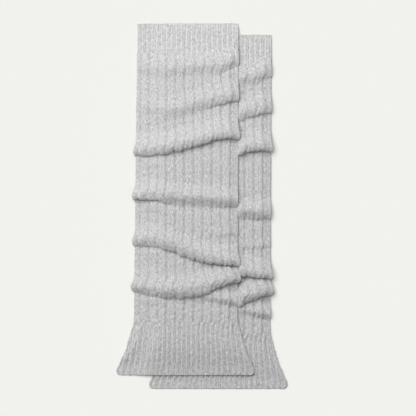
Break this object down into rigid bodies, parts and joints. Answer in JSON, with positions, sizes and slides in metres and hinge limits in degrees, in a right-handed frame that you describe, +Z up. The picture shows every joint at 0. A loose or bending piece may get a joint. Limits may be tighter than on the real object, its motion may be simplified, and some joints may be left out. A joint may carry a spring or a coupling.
{
  "type": "pair of leg warmers",
  "caption": "Pair of rib-knit leg warmers laid flat, one half over the other: rucked tubes with a straight ribbed knee cuff and a flared ribbed ankle cuff, open at both ends.",
  "frame": {"origin": "bottom centre of the pair's bounding box, on the surface that it lies on", "axes": "+Z up from the surface, +Y along the leg towards the knee cuffs, +X from the front leg warmer towards the back one"},
  "size_m": [0.2342, 0.4964, 0.0252],
  "materials": {
    "grey_knit": "brushed, heathered pale grey rib knit, matt with a soft nap"
  },
  "bodies": {
    "root": {"front_knee_cuff": "grey_knit", "front_leg": "grey_knit", "front_ankle_cuff": "grey_knit", "back_knee_cuff": "grey_knit", "back_leg": "grey_knit", "back_ankle_cuff": "grey_knit"}
  },
  "joints": []
}
